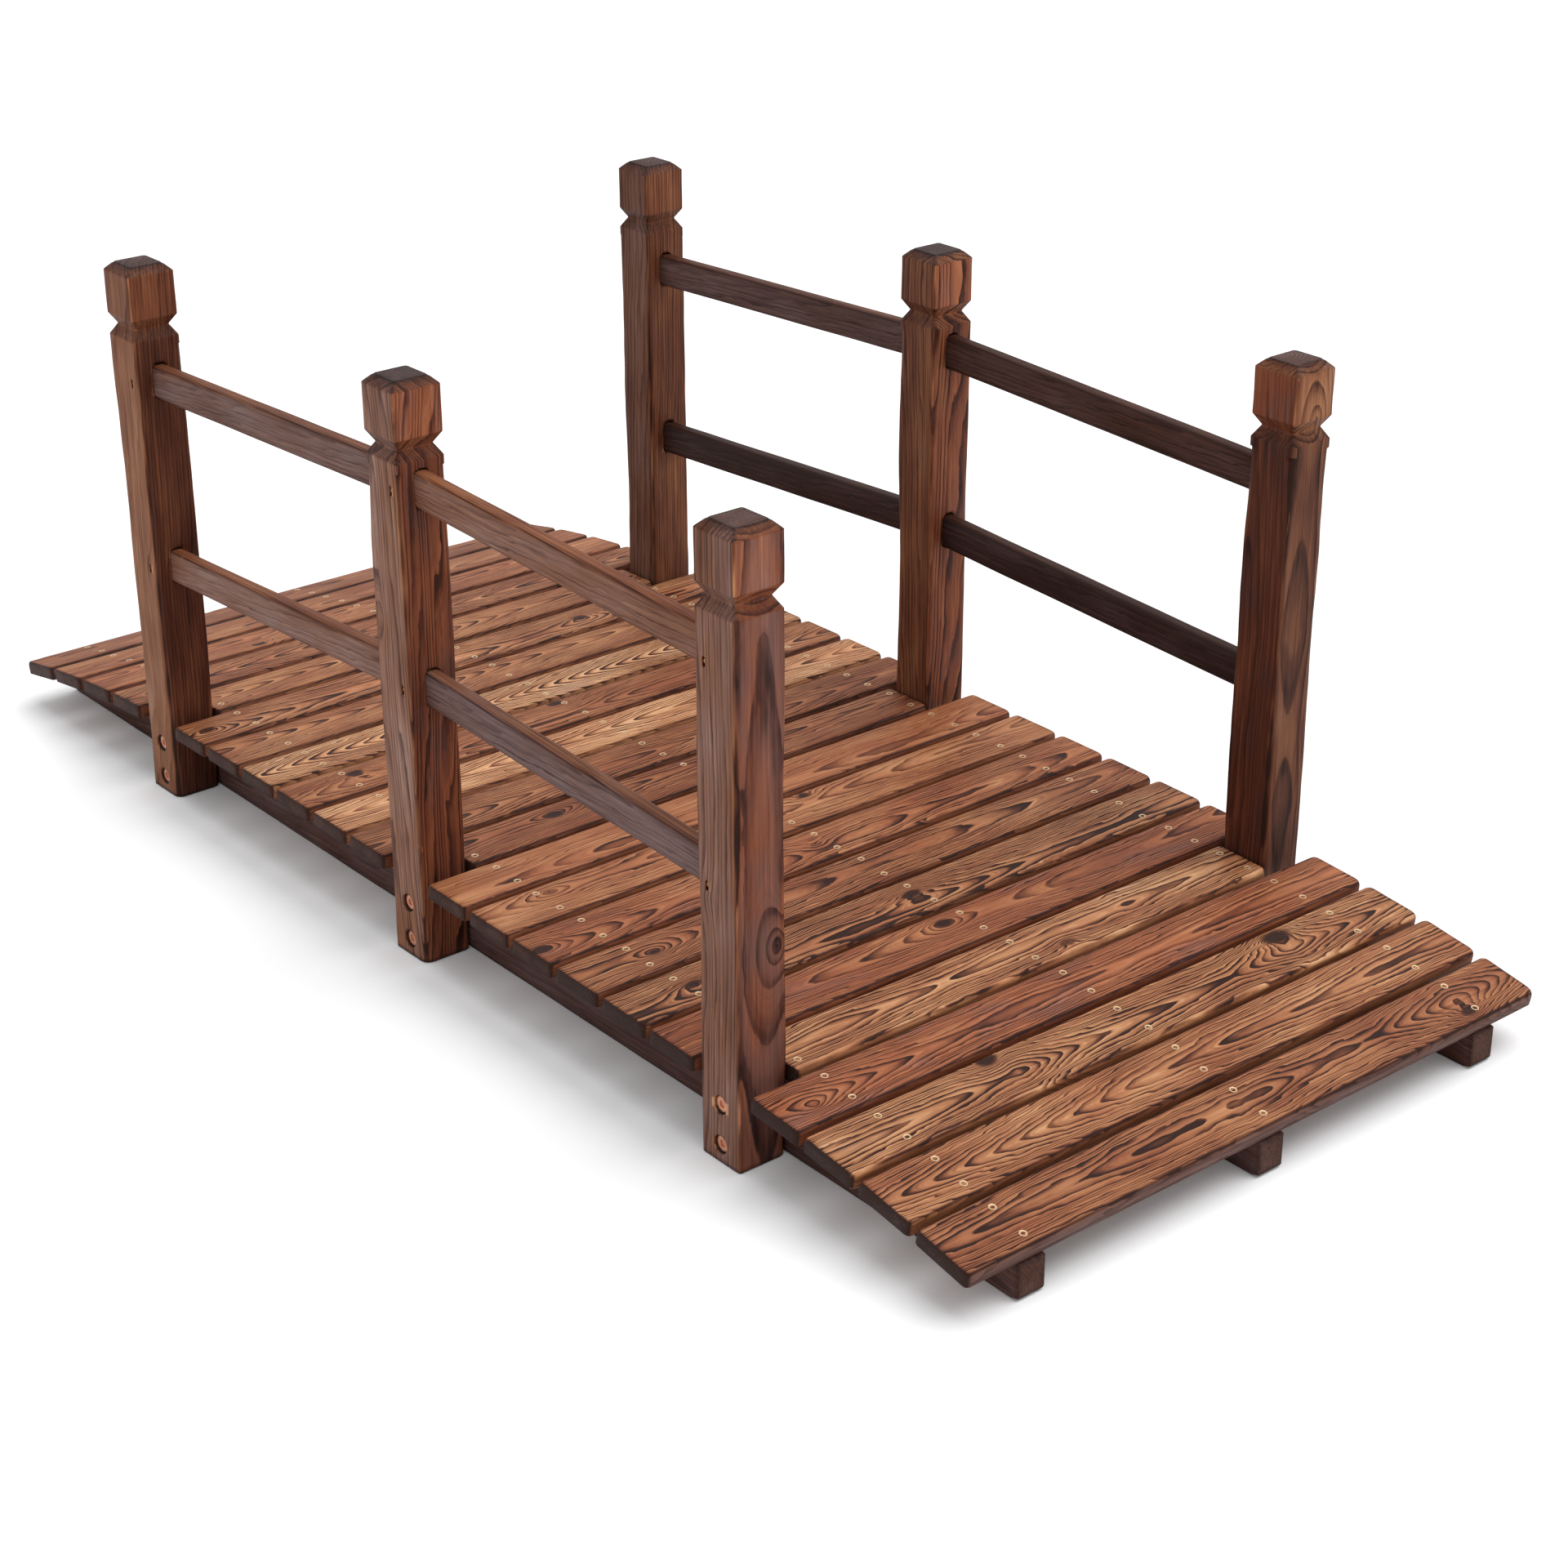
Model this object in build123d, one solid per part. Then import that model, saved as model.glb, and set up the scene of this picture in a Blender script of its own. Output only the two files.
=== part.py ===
from build123d import *
import math
import os

# Wooden garden footbridge: three arched stringers, a plank deck that follows
# them, and a low post-and-rail balustrade along each side.
# Millimetres. +X runs along the walkway, +Y across it, +Z up. The origin is
# on the ground, at the middle of the bridge. "left" is the +Y side and
# "right" the -Y side; "start" is the -X end and "finish" the +X end.

# ---------------------------------------------------------------- stringers
STRINGER_LENGTH = 1500.0
STRINGER_WIDTH = 29.0
STRINGER_DEPTH = 73.5          # at mid-span, flat underside to crown
CROWN_HALF_LENGTH = 440.0      # the long, almost flat middle arc of the top edge
CROWN_RADIUS = 20000.0
END_RADIUS = 1690.0            # the tighter arc that runs down to each end
STRINGER_END_EASE = 3.0        # eased lower corner of each end
STRINGER_SPREAD = 265.5        # centre line of an outer stringer from mid-width

# ------------------------------------------------------------------- planks
PLANK_COUNT = 23
PLANK_PITCH = 65.5             # measured along the stringers' top edge
PLANK_WIDTH = 60.5
PLANK_THICKNESS = 15.0
PLANK_LENGTH = 664.0
PLANK_TOP_EASE = 3.0
PLANK_BOTTOM_EASE = 1.5
PLANK_POST_GAP = 2.5           # short planks end this far from the posts
POST_PLANKS = 7                # a post stands at every seventh plank from mid-span

# -------------------------------------------------------------------- posts
POST_WIDTH = 50.0
POST_HEIGHT = 549.0
POST_SPACING = 455.0
POST_EDGE_EASE = 3.0
CAP_BEVEL = 8.0                # bevel round the flat top, in and down
HEAD_HEIGHT = 42.0             # straight block between the bevel and the neck
NECK_DEPTH = 6.5               # vee groove cut all round
NECK_FLANK = 10.5              # height of each flank of the groove

# -------------------------------------------------------------------- rails
RAIL_HEIGHT = 33.0
RAIL_THICKNESS = 16.0
RAIL_EASE = 4.0
UPPER_RAIL_END_DROP = 97.0     # top of an end post down to the rail's top edge
UPPER_RAIL_MID_DROP = 79.0     # and at the middle post, both on the centre line
LOWER_RAIL_END_DROP = 286.0
LOWER_RAIL_MID_DROP = 263.0
TENON_DEPTH = 20.0             # rail end inside the post
MORTISE_END_GAP = 1.5
MORTISE_SIDE_GAP = 0.4
MORTISE_FLOOR_GAP = 0.2
MORTISE_TOP_GAP = 2.0          # the slot shows a thin dark line over the rail
MORTISE_TOP_EASE = 7.0
MORTISE_FLOOR_EASE = 4.3

# ------------------------------------------------------- bolts and rail pins
BOLT_HEIGHTS = (17.0, 54.0)
BOLT_BORE = 8.0
BOLT_COUNTERBORE = 17.0
BOLT_COUNTERBORE_DEPTH = 4.5
BOLT_GRIP = 22.0               # bore depth in the stringer
RAIL_PIN_WIDTH = 4.5           # upright slot over a rail's tenon
RAIL_PIN_HEIGHT = 9.0
RAIL_PIN_SETBACK = 12.0        # from the post face that the rail enters
RAIL_PIN_GRIP = 10.0           # slot depth in the tenon

# ------------------------------------------------------------ worked-out sizes
POST_INNER_FACE = STRINGER_SPREAD + STRINGER_WIDTH / 2
POST_CENTRE_Y = POST_INNER_FACE + POST_WIDTH / 2
POST_OUTER_FACE = POST_INNER_FACE + POST_WIDTH
SHORT_PLANK_LENGTH = 2 * (POST_INNER_FACE - PLANK_POST_GAP)
CROWN_ANGLE = CROWN_HALF_LENGTH / CROWN_RADIUS
SIDES = {"left": 1, "right": -1}
STATIONS = {"start": -1, "middle": 0, "finish": 1}
BAYS = {"start": -1, "finish": 1}
RAIL_DROPS = {
    "upper": (UPPER_RAIL_END_DROP, UPPER_RAIL_MID_DROP),
    "lower": (LOWER_RAIL_END_DROP, LOWER_RAIL_MID_DROP),
}


def seat_at_angle(angle):
    """Point (x, z) of the stringers' top edge where it slopes down by angle."""
    crown = min(angle, CROWN_ANGLE)
    x = CROWN_RADIUS * math.sin(crown)
    z = STRINGER_DEPTH - CROWN_RADIUS * (1 - math.cos(crown))
    if angle > CROWN_ANGLE:
        x += END_RADIUS * (math.sin(angle) - math.sin(CROWN_ANGLE))
        z -= END_RADIUS * (math.cos(CROWN_ANGLE) - math.cos(angle))
    return x, z


def seat_at_distance(distance):
    """Point and slope of the top edge, at a distance along it from mid-span."""
    run = abs(distance)
    if run <= CROWN_HALF_LENGTH:
        angle = run / CROWN_RADIUS
    else:
        angle = CROWN_ANGLE + (run - CROWN_HALF_LENGTH) / END_RADIUS
    x, z = seat_at_angle(angle)
    side = math.copysign(1, distance)
    return side * x, z, side * angle


def end_angle():
    """Slope of the top edge where a stringer ends."""
    crown_x, _ = seat_at_angle(CROWN_ANGLE)
    reach = (STRINGER_LENGTH / 2 - crown_x) / END_RADIUS + math.sin(CROWN_ANGLE)
    return math.asin(reach)


def make_stringer():
    """Side profile with a three-arc top edge and a flat underside."""
    half = STRINGER_LENGTH / 2
    crown_x, crown_z = seat_at_angle(CROWN_ANGLE)
    _, end_z = seat_at_angle(end_angle())
    mid_x, mid_z = seat_at_angle((CROWN_ANGLE + end_angle()) / 2)
    outline = Polyline((-half, end_z), (-half, 0), (half, 0), (half, end_z))
    outline += ThreePointArc((half, end_z), (mid_x, mid_z), (crown_x, crown_z))
    outline += ThreePointArc((crown_x, crown_z), (0, STRINGER_DEPTH), (-crown_x, crown_z))
    outline += ThreePointArc((-crown_x, crown_z), (-mid_x, mid_z), (-half, end_z))
    profile = Plane.XZ * make_face(outline)
    beam = extrude(profile, STRINGER_WIDTH / 2, both=True)
    lower_corners = beam.edges().filter_by(Axis.Y).group_by(Axis.Z)[0]
    return fillet(lower_corners, STRINGER_END_EASE)


def make_outer_stringer(side):
    """An outer stringer, bored for the bolts that hold the posts to it."""
    beam = Pos(0, side * STRINGER_SPREAD, 0) * make_stringer()
    for station in STATIONS.values():
        for height in BOLT_HEIGHTS:
            start = side * (POST_INNER_FACE - BOLT_GRIP / 2)
            bore = Cylinder(BOLT_BORE / 2, BOLT_GRIP, rotation=(90, 0, 0))
            beam -= Pos(station * POST_SPACING, start, height) * bore
    return beam


def make_plank(length):
    """A deck board along Y, with its underside at z = 0 and eased long edges."""
    board = extrude(Plane.XZ * Pos(0, PLANK_THICKNESS / 2) * Rectangle(PLANK_WIDTH, PLANK_THICKNESS),
                    length / 2, both=True)
    long_edges = board.edges().filter_by(Axis.Y).group_by(Axis.Z)
    board = fillet(long_edges[-1], PLANK_TOP_EASE)
    long_edges = board.edges().filter_by(Axis.Y).group_by(Axis.Z)
    return fillet(long_edges[0], PLANK_BOTTOM_EASE)


def place_plank(index):
    """The plank at a whole number of pitches from mid-span, flat on its seat."""
    at_post = index % POST_PLANKS == 0
    length = SHORT_PLANK_LENGTH if at_post else PLANK_LENGTH
    x, z, slope = seat_at_distance(index * PLANK_PITCH)
    return Pos(x, 0, z) * Rot(0, math.degrees(slope), 0) * make_plank(length)


def post_silhouette():
    """One face of a post: foot, body, vee neck, head block and bevelled cap."""
    half = POST_WIDTH / 2
    head_top = POST_HEIGHT - CAP_BEVEL
    head_bottom = head_top - HEAD_HEIGHT
    neck = head_bottom - NECK_FLANK
    shoulder = neck - NECK_FLANK
    right = [(half, 0), (half, shoulder), (half - NECK_DEPTH, neck), (half, head_bottom),
             (half, head_top), (half - CAP_BEVEL, POST_HEIGHT)]
    left = [(-x, z) for x, z in reversed(right)]
    return make_face(Polyline(*right, *left, close=True))


def make_post_blank():
    """The same silhouette cut from both pairs of faces, with eased corners."""
    across = extrude(Plane.XZ * post_silhouette(), POST_WIDTH / 2, both=True)
    along = extrude(Plane.YZ * post_silhouette(), POST_WIDTH / 2, both=True)
    stick = extrude(RectangleRounded(POST_WIDTH, POST_WIDTH, POST_EDGE_EASE), POST_HEIGHT)
    return across & along & stick


def rail_top(level, x):
    """Height of a rail's straight top edge, which rises to the middle post."""
    end_drop, mid_drop = RAIL_DROPS[level]
    return POST_HEIGHT - mid_drop - (end_drop - mid_drop) * abs(x) / POST_SPACING


def rail_prism(level, bay, reach, side_gap, floor_gap, top_gap, top_ease, floor_ease):
    """A rail, or the space for one, whose ends stand reach inside the posts' faces."""
    outer_x = bay * (POST_SPACING - POST_WIDTH / 2 + reach)
    inner_x = bay * (POST_WIDTH / 2 - reach)
    points = [
        (outer_x, rail_top(level, outer_x) + top_gap),
        (inner_x, rail_top(level, inner_x) + top_gap),
        (inner_x, rail_top(level, inner_x) - RAIL_HEIGHT - floor_gap),
        (outer_x, rail_top(level, outer_x) - RAIL_HEIGHT - floor_gap),
    ]
    profile = Plane.XZ * make_face(Polyline(*points, close=True))
    prism = extrude(profile, RAIL_THICKNESS / 2 + side_gap, both=True)
    long_edges = prism.edges().filter_by(lambda edge: edge.length > POST_SPACING / 2)
    prism = fillet(long_edges.sort_by(Axis.Z)[2:], top_ease)
    long_edges = prism.edges().filter_by(lambda edge: edge.length > POST_SPACING / 2)
    return fillet(long_edges.sort_by(Axis.Z)[:2], floor_ease)


def make_mortise(level, bay):
    return rail_prism(level, bay, TENON_DEPTH + MORTISE_END_GAP, MORTISE_SIDE_GAP,
                      MORTISE_FLOOR_GAP, MORTISE_TOP_GAP, MORTISE_TOP_EASE, MORTISE_FLOOR_EASE)


def pin_slot(side, station, level):
    """Slot for the pin through a post into a tenon: at the middle post, the finish one."""
    toward_bay = -1 if station == STATIONS["finish"] else 1
    x = station * POST_SPACING + toward_bay * (POST_WIDTH / 2 - RAIL_PIN_SETBACK)
    z = rail_top(level, x) - RAIL_HEIGHT / 2
    depth = POST_WIDTH / 2 - RAIL_THICKNESS / 2 + RAIL_PIN_GRIP
    outline = Plane.XZ * Pos(x, z) * SlotOverall(RAIL_PIN_HEIGHT, RAIL_PIN_WIDTH, rotation=90)
    return Pos(0, side * (POST_OUTER_FACE - depth / 2), 0) * extrude(outline, depth / 2, both=True)


def make_rail(side, level, bay):
    """A rail in its place, slotted for its pins."""
    rail = Pos(0, side * POST_CENTRE_Y, 0) * rail_prism(level, bay, TENON_DEPTH, 0, 0, 0,
                                                        RAIL_EASE, RAIL_EASE)
    for station in STATIONS.values():
        rail -= pin_slot(side, station, level)
    return rail


def bolt_hole(side, height):
    """Counterbore and bore of one bolt, from a post's outer face to its inner one."""
    outer = side * POST_WIDTH / 2
    bore = Pos(0, 0, height) * Cylinder(BOLT_BORE / 2, POST_WIDTH, rotation=(90, 0, 0))
    pocket = Cylinder(BOLT_COUNTERBORE / 2, 2 * BOLT_COUNTERBORE_DEPTH, rotation=(90, 0, 0))
    return bore + Pos(0, outer, height) * pocket


def make_post(side, station):
    """A post in its place, mortised for its rails and bored for its bolts and pins."""
    post = make_post_blank()
    for height in BOLT_HEIGHTS:
        post -= bolt_hole(side, height)
    post = Pos(station * POST_SPACING, side * POST_CENTRE_Y, 0) * post
    bays = BAYS.values() if station == STATIONS["middle"] else (station,)
    for level in RAIL_DROPS:
        for bay in bays:
            post -= Pos(0, side * POST_CENTRE_Y, 0) * make_mortise(level, bay)
        post -= pin_slot(side, station, level)
    return post


def save(name, shape):
    export_step(shape, os.path.join("parts", name + ".step"))


def main():
    os.makedirs("parts", exist_ok=True)
    save("stringer_centre", make_stringer())
    for side_name, side in SIDES.items():
        save(f"stringer_{side_name}", make_outer_stringer(side))
        for station_name, station in STATIONS.items():
            save(f"post_{side_name}_{station_name}", make_post(side, station))
        for level in RAIL_DROPS:
            for bay_name, bay in BAYS.items():
                save(f"rail_{level}_{side_name}_{bay_name}", make_rail(side, level, bay))
    last = PLANK_COUNT // 2
    for index in range(-last, last + 1):
        save(f"plank_{index + last + 1:02d}", place_plank(index))


main()
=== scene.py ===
import math

import bmesh
import bpy
import numpy as np
from mathutils import Euler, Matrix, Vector, noise
from mathutils.bvhtree import BVHTree


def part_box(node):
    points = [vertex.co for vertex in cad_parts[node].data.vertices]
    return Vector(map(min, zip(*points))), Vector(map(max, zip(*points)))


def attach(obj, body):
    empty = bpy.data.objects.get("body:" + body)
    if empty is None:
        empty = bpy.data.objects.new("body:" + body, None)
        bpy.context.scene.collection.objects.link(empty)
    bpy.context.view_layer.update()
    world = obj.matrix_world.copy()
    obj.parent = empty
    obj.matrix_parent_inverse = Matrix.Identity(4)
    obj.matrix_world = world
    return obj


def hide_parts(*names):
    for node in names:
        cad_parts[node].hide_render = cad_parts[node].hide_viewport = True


# Looks of a wooden garden footbridge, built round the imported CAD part. Metres, in the
# part's frame: +X along the walkway, +Y across it, +Z up. Every CAD timber is replaced
# by a skin that follows its solid, a little inside it, with worn corners, and carries
# wood coordinates in millimetres for one procedural timber shader.

MM = 0.001

# -------------------------- camera and light
CAMERA_PLACE = (2.0728, -1.5959, 1.3133)
CAMERA_HEADING = 140.50        # degrees from +X
CAMERA_PITCH = -25.38
CAMERA_ROLL = 0.15
LENS = 68.58                   # mm
SENSOR = 36.0                  # mm
SKY_STRENGTH = 0.65            # on the bridge: where the sky is seen, it is white
KEY_STRENGTH = 2.10
KEY_SPREAD = 60.0              # degrees across the soft key light
KEY_ELEVATION = 71.0
KEY_HEADING = 62.0             # degrees from +X to where the light comes from
FLOOR_HALF = 40.0
PAPER_COLOUR = (0.945, 0.95, 0.96, 1.0)
PAPER_GLOW = 0.055             # of white, on the floor as it is seen, so its shadow stays light
GLOW_COLOUR = (0.85, 0.97, 1.0, 1.0)

# ------------------------ reading the solids
RAY_LIFT = 0.1 * MM            # a ray into a board starts this far under its top
BOARD_PROBE = 15.0 * MM        # from the board's middle to the rays that find its tilt
POST_PROBE = 12.0 * MM         # from the post's axis, clear of the bolt bores
PROBE_DISTANCE = 0.1           # from the axis to where a ray at a post's face starts
END_MARGIN = 0.2 * MM          # how far inside a post's or bar's ends its sections stop
BOARD_STEP = 5.0 * MM          # between sections
POST_STEP = 4.0 * MM
HEAD_STEP = 1.0 * MM
HEAD_ZONE = 80.0 * MM          # top of a post, where the neck and the cap are
RAIL_STEP = 6.0 * MM
BEAM_STEP = 8.0 * MM

# ------------------------------- timber skin
SKIN_INSET = 0.12 * MM         # the skin stays this far inside the CAD solid
ARC_POINTS = 5                 # points round each long corner
ROUNDEST = 0.8                 # largest corner radius, as a share of the half width
END_EASE_STEPS = 4
EASE_CLEARANCE = 1.3           # sections nearer to an end than this many eases give way
WAVE_ROUND = 24.0 * MM         # size of the dips in a face, and along the timber
WAVE_ALONG = 55.0 * MM
WAVE_SPACING = 9.7             # between the noise of one timber and the next
# Points between the corners of each face (ahead, above, behind and below, for a board), how
# far the outline draws in at the ends, all round and in plan, and how deep a face dips.
BOARD_SKIN = {"flats": (3, 9, 2, 9), "end_ease": 1.6 * MM, "plan_ease": 5.0 * MM,
              "waviness": 0.35 * MM}
POST_SKIN = {"flats": (8, 8, 8, 8), "end_ease": 0.8 * MM, "plan_ease": 0.8 * MM,
             "waviness": 0.25 * MM}
RAIL_SKIN = {"flats": (2, 6, 2, 6), "end_ease": 0.6 * MM, "plan_ease": 0.6 * MM,
             "waviness": 0.15 * MM}
BEAM_SKIN = {"flats": (3, 6, 3, 6), "end_ease": 1.2 * MM, "plan_ease": 1.2 * MM,
             "waviness": 0.2 * MM}
# Long corners: radius and how far noise swings it, in mm, and over what length it does.
BOARD_CORNER = (5.2, 1.2, 90 * MM)
POST_CORNER = (3.0, 0.8, 25 * MM)
RAIL_CORNER = (4.2, 0.8, 80 * MM)
BEAM_CORNER = (1.8, 0.7, 70 * MM)
BOARD_UNDER_CORNER = 1.5
# Chips in a board's corners and wane on a post's: mm at a noise of 1, over what length, and
# what is added to the noise before whatever is below 0 is dropped.
CHIPS = (4.0, 22 * MM, -0.2)
WANE = (9.0, 130 * MM, 0.1)
WELD = 1e-6                    # m, within which points of a CAD mesh are one
SKIN_SHARP = 32                # degrees past which an edge of a skin shades crisp
HEAD_SHARP = 35                # and of a screw, bolt or pin

# ------------------------------------- noise
# A board's seed is its number; the others' follow from these.
POST_SEED = 40
RAIL_SEED = 60
BEAM_SEED = 80
SEED_SPACING = 7.31            # between the noise of one timber and the next
CHANNEL_SPACING = 3.17         # and between the channels of one timber
CHANNEL_START = 0.5            # off the whole numbers, where such noise is always 0
CHIP_CHANNEL = 5               # the first of four; the corners' own are 0 to 3
PITH_ACROSS = 21
PITH_UP = 22
PITH_AGE = 23
RUBBED = 27
SCREW_CHANNELS = (31, 32)
WANDER_STATIONS = 240          # places where an array's noise is worked out

# --------------------------------- fasteners
SCREW_OFFSET = 17.0 * MM       # each side of a board's centre line, over every stringer
BOLT_HEIGHTS = (17.0 * MM, 54.0 * MM)
BOLT_PROBE = 6.5 * MM          # from the bolt's axis, on the floor of its counterbore
SCREW_SINK = 0.1 * MM          # below the board's skin
SCREW_STRAY = (1.2 * MM, 3.0 * MM)   # across the board and along it
SCREW_STRAY_WAVE = 0.05        # m over which that varies
SCREW_SIDES = 20
BOLT_SIDES = 36
PIN_SIDES = 16
# Rings of a turned head: radius, height above its seat, both in mm, and hexagonal or not.
SCREW_PROFILE = ((2.4, -1.2, False), (3.2, -0.35, False), (3.5, 0.02, False),
                 (3.35, 0.2, False), (2.85, 0.25, False), (2.2, 0.05, False),
                 (1.8, -0.3, False), (1.1, -0.9, False))
BOLT_PROFILE = ((7.3, 0.1, False), (7.3, 1.3, False), (7.0, 1.75, False), (6.3, 2.0, False),
                (4.3, 2.05, False), (3.7, 1.9, True), (3.5, 0.4, True), (2.2, 0.2, False))
PIN_PROFILE = ((1.9, -24.5, False), (1.9, -0.4, False), (1.6, 0.0, False),
               (0.9, -0.1, False), (0.6, -0.9, False))
PIN_SETBACK = 12.0 * MM        # from the post face that the rail enters
PIN_RECESS = 2.0 * MM

# ------------------------------------- grain
BOARD_RING = 2.0               # mm between growth rings
RAIL_RING = 2.4
BEAM_RING = 3.0
BOARD_REACH = 332              # mm from a board's middle to its ends
BOARD_PITH_STRAY = (3.0, 150)  # how far a board's pith wanders, and over what length, in mm
POST_PITH_STRAYS = ((2.0, 140), (2.0, 160))    # along the bridge, and across it
# Pith of a rail or stringer, across and up: place, how far it wanders, and over what length.
RAIL_PITH = ((-40, 2.0, 200), (20, 3.0, 180))
BEAM_PITH = ((-30, 3.0, 300), (-12, 5.0, 260))
BAR_GROWTH = 0.01              # rings that grow in per mm along a rail or a stringer
POST_GROWTH = 0.008            # and up a post
BOARD_AGE_STRAY = 1.3          # rings
POST_AGE_STRAY = 0.8
AGE_WAVE = 110                 # mm over which those ages wander
GRAIN_SPACING = 1713.0         # mm between one timber and the next in the shader's noise
RIM = 1.5                      # mm from a timber's end to where the end's look has faded
KNOT_ACROSS = 9.0              # mm over which a knot's pull more than halves, and along
KNOT_ALONG = 15.0
KNOT_FADE = -0.8               # its pull is e to this power at those distances
KNOT_CHANNELS = 2              # knots that the shader reads on a timber
NO_KNOT = (0, 0, 9000, 0)      # far off every timber, and drawing in no ring
# Board number: darkness, contrast and redness, then the pith's offset across and depth
# below the face, in mm, and the rings that grow in along the board, whose sign turns the
# arches round.
BOARDS = {
    1: (0.46, 0.36, 0.50, -6, 26, 3), 2: (0.37, 0.36, 0.45, 10, 22, -4),
    3: (0.28, 0.60, 0.65, -12, 20, 6), 4: (0.27, 1.12, 0.60, 4, 17, -8),
    5: (0.26, 0.80, 0.40, -3, 14, 10), 6: (0.22, 1.16, 0.45, 9, 22, 4),
    7: (0.26, 0.80, 0.40, -8, 15, 9), 8: (0.05, 1.50, 0.10, 2, 13, -17),
    9: (0.31, 0.68, 0.55, 10, 20, -5), 10: (0.03, 1.05, 0.25, -2, 16, -8),
    11: (0.34, 0.80, 0.50, 6, 17, 7), 12: (0.38, 0.70, 0.60, -10, 19, 5),
    13: (0.26, 0.52, 0.65, 14, 24, -4), 14: (0.24, 0.58, 0.50, -9, 28, -3),
    15: (0.28, 0.84, 0.75, 8, 24, 4), 16: (0.31, 0.94, 0.55, -4, 24, 4),
    17: (0.24, 1.50, 0.40, 14, 21, 2), 18: (0.32, 0.64, 0.85, -6, 24, -4),
    19: (0.17, 1.16, 0.25, -2, 20, 0), 20: (0.29, 0.82, 0.95, 2, 20, 0),
    21: (0.21, 1.20, 0.20, 3, 19, 0), 22: (0.23, 0.88, 0.40, 2, 19, 0),
    23: (0.32, 0.88, 0.55, -2, 20, 0),
}
GREY_SIDED_BOARDS = (1, 23)     # the outer ones, whose sides are greyer
WORN_BOARDS = (19, 21)         # whose arrises are rubbed pale
# What an arris's darkness loses, more or less.
WORN_WEAR = 0.75
BOARD_WEAR = 0.10
POST_WEAR = 0.42
RAIL_WEAR = 0.12
BEAM_WEAR = 0.06
BOARD_SIDE_PAINTED_SHADE = 0.26       # painted shade: darker than its top, with a share of the top's contrast
BOARD_SIDE_CONTRAST = 0.10
BOARD_END = (0.90, 0.08, -0.15)
CHARRED_END = (1.0, 0.04, -0.15)
CHARRED_FROM = 16              # the first board whose ends are charred
GREY_BOARD_SIDE = (0.66, 0.14, -0.6)
# Board number: places along the board in mm, and the age of its middle there, in rings.
# Arches point the way that the age grows, and a dip just under a whole number is a dark
# pocket with a sharp rim.
BOARD_AGES = {
    19: ((-332, 1.2), (-262, 1.7), (-230, 2.0), (-200, 2.35), (-169, 3.0), (-140, 3.4),
         (-115, 3.85), (-105, 4.0), (-91, 4.35), (-77, 4.0), (-68, 3.85), (-40, 3.6),
         (-15, 3.4), (15, 3.0), (24, 2.85), (52, 2.6), (88, 3.0), (110, 3.35), (130, 2.9),
         (168, 3.7), (240, 4.3), (332, 5.2)),
    20: ((-332, -1.0), (-298, -1.0), (-262, 0.0), (-235, 1.0), (-210, 1.5), (-189, 2.0),
         (-150, 2.65), (-122, 2.97), (-95, 2.72), (-50, 2.62), (-10, 2.8), (16, 3.0), (70, 3.4),
         (130, 3.2), (200, 2.8), (262, 2.4), (332, 2.2)),
    21: ((-332, -0.6), (-290, -0.35), (-249, 0.02), (-214, 0.42), (-195, 0.7), (-185, 0.81),
         (-165, 1.42), (-152, 1.47), (-142, 1.4), (-132, 1.13), (-122, 1.6), (-110, 2.7),
         (-99, 3.8), (-85, 4.88), (-67, 5.95), (-37, 7.0), (35, 8.0), (96, 8.9), (120, 9.2),
         (150, 8.0), (192, 6.0), (225, 7.0), (260, 8.0), (295, 9.0), (332, 9.8)),
    22: ((-332, 12.6), (-246, 10.0), (-238, 9.5), (-214, 9.0), (-207, 8.5), (-186, 8.0),
         (-179, 7.5), (-160, 7.0), (-152, 6.5), (-126, 6.0), (-118, 5.5), (-96, 5.0),
         (-89, 4.5), (-70, 4.0), (-56, 3.5), (-4, 3.0), (46, 2.0), (130, 1.0), (160, 0.9),
         (185, 0.5), (232, 0.0), (285, -0.1), (312, -0.5), (332, -0.6)),
    23: ((-332, 1.7), (-289, 1.0), (-272, 0.85), (-240, 0.5), (-177, 0.12), (-168, -0.1),
         (-150, -0.5), (-125, -1.0), (-100, -1.15), (-76, -1.02), (-52, -1.03), (-44, -0.8),
         (-24, -0.8), (-17, -1.02), (-8, -1.05), (-2, -0.95), (16, -1.1), (28, -1.03), (36, -0.7),
         (60, 0.2), (100, 1.0), (120, 0.8), (140, 1.2), (166, 1.0), (186, 0.0), (210, -1.0),
         (260, -3.0), (300, -1.0), (332, 1.0)),
}
# Board number: knots as (across, along, rings drawn in), in mm from the board's middle.
BOARD_KNOTS = {
    3: ((20, -145, -5),), 6: ((2, -310, -5), (0, 150, -5)),
    9: ((-9, -255, -5), (-22, -8, 5)), 12: ((-6, -162, -5),),
    14: ((-13, -256, -4), (-20, 45, 5)), 15: ((4, -322, -5), (0, -12, 3.5)),
    16: ((2, -250, -5),), 17: ((-3, -8, -5), (2, -258, -5)), 18: ((-11, -22, -6),),
    19: ((15, 40, 4), (-20, -262, 4)), 20: ((9, -296, -3.5),),
    21: ((-25, -143, 6), (-16, 196, -9)),
    23: ((16, 258, -4.5),),
}
HEAD_LIGHT_HEIGHT = 482              # mm, over which a post's head takes painted light, a darkness of its own, mostly lighter
HEAD_LIGHT_BLEND = 8                 # mm over which that comes in
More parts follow.
